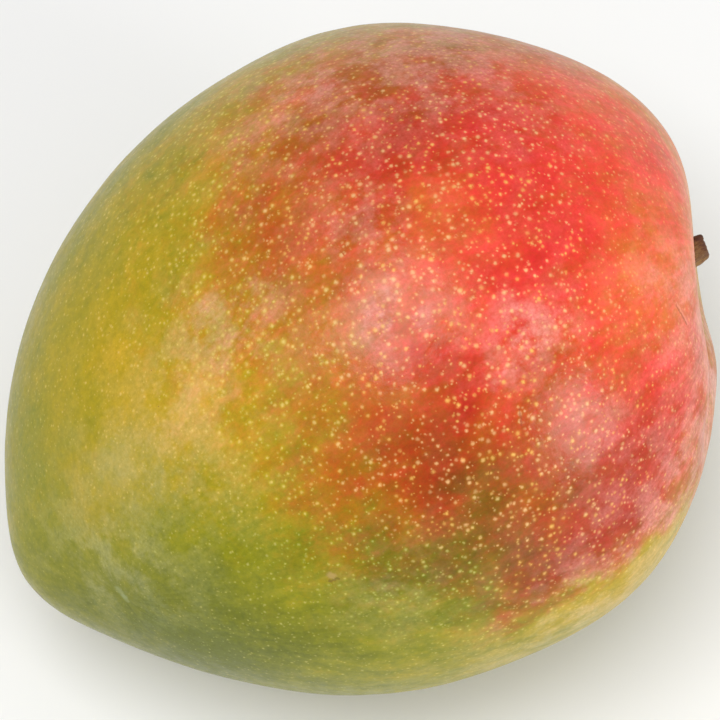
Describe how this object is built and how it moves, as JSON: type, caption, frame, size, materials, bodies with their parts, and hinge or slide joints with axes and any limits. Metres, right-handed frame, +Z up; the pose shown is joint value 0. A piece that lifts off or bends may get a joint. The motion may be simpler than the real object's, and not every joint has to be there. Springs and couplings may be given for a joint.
{
  "type": "mango",
  "caption": "Whole ripe mango lying on its cheek: a plump, slightly flattened fruit with a blunt beak, a furrowed stem cavity and a short cut stem stub, for displays and food scenes.",
  "frame": {"origin": "on the table, under the middle of the fruit's bounding box", "axes": "+X towards the stem end, +Y towards the fruit's back (the fuller side), +Z up"},
  "size_m": [0.122, 0.1054, 0.0943],
  "materials": {
    "mango_skin": "waxy satin fruit skin, coral red over yellow and green, with pale pores",
    "stem_wood": "dry, dull, dark brown woody stalk"
  },
  "bodies": {
    "root": {"fruit": "mango_skin", "stem": "stem_wood"}
  },
  "joints": []
}
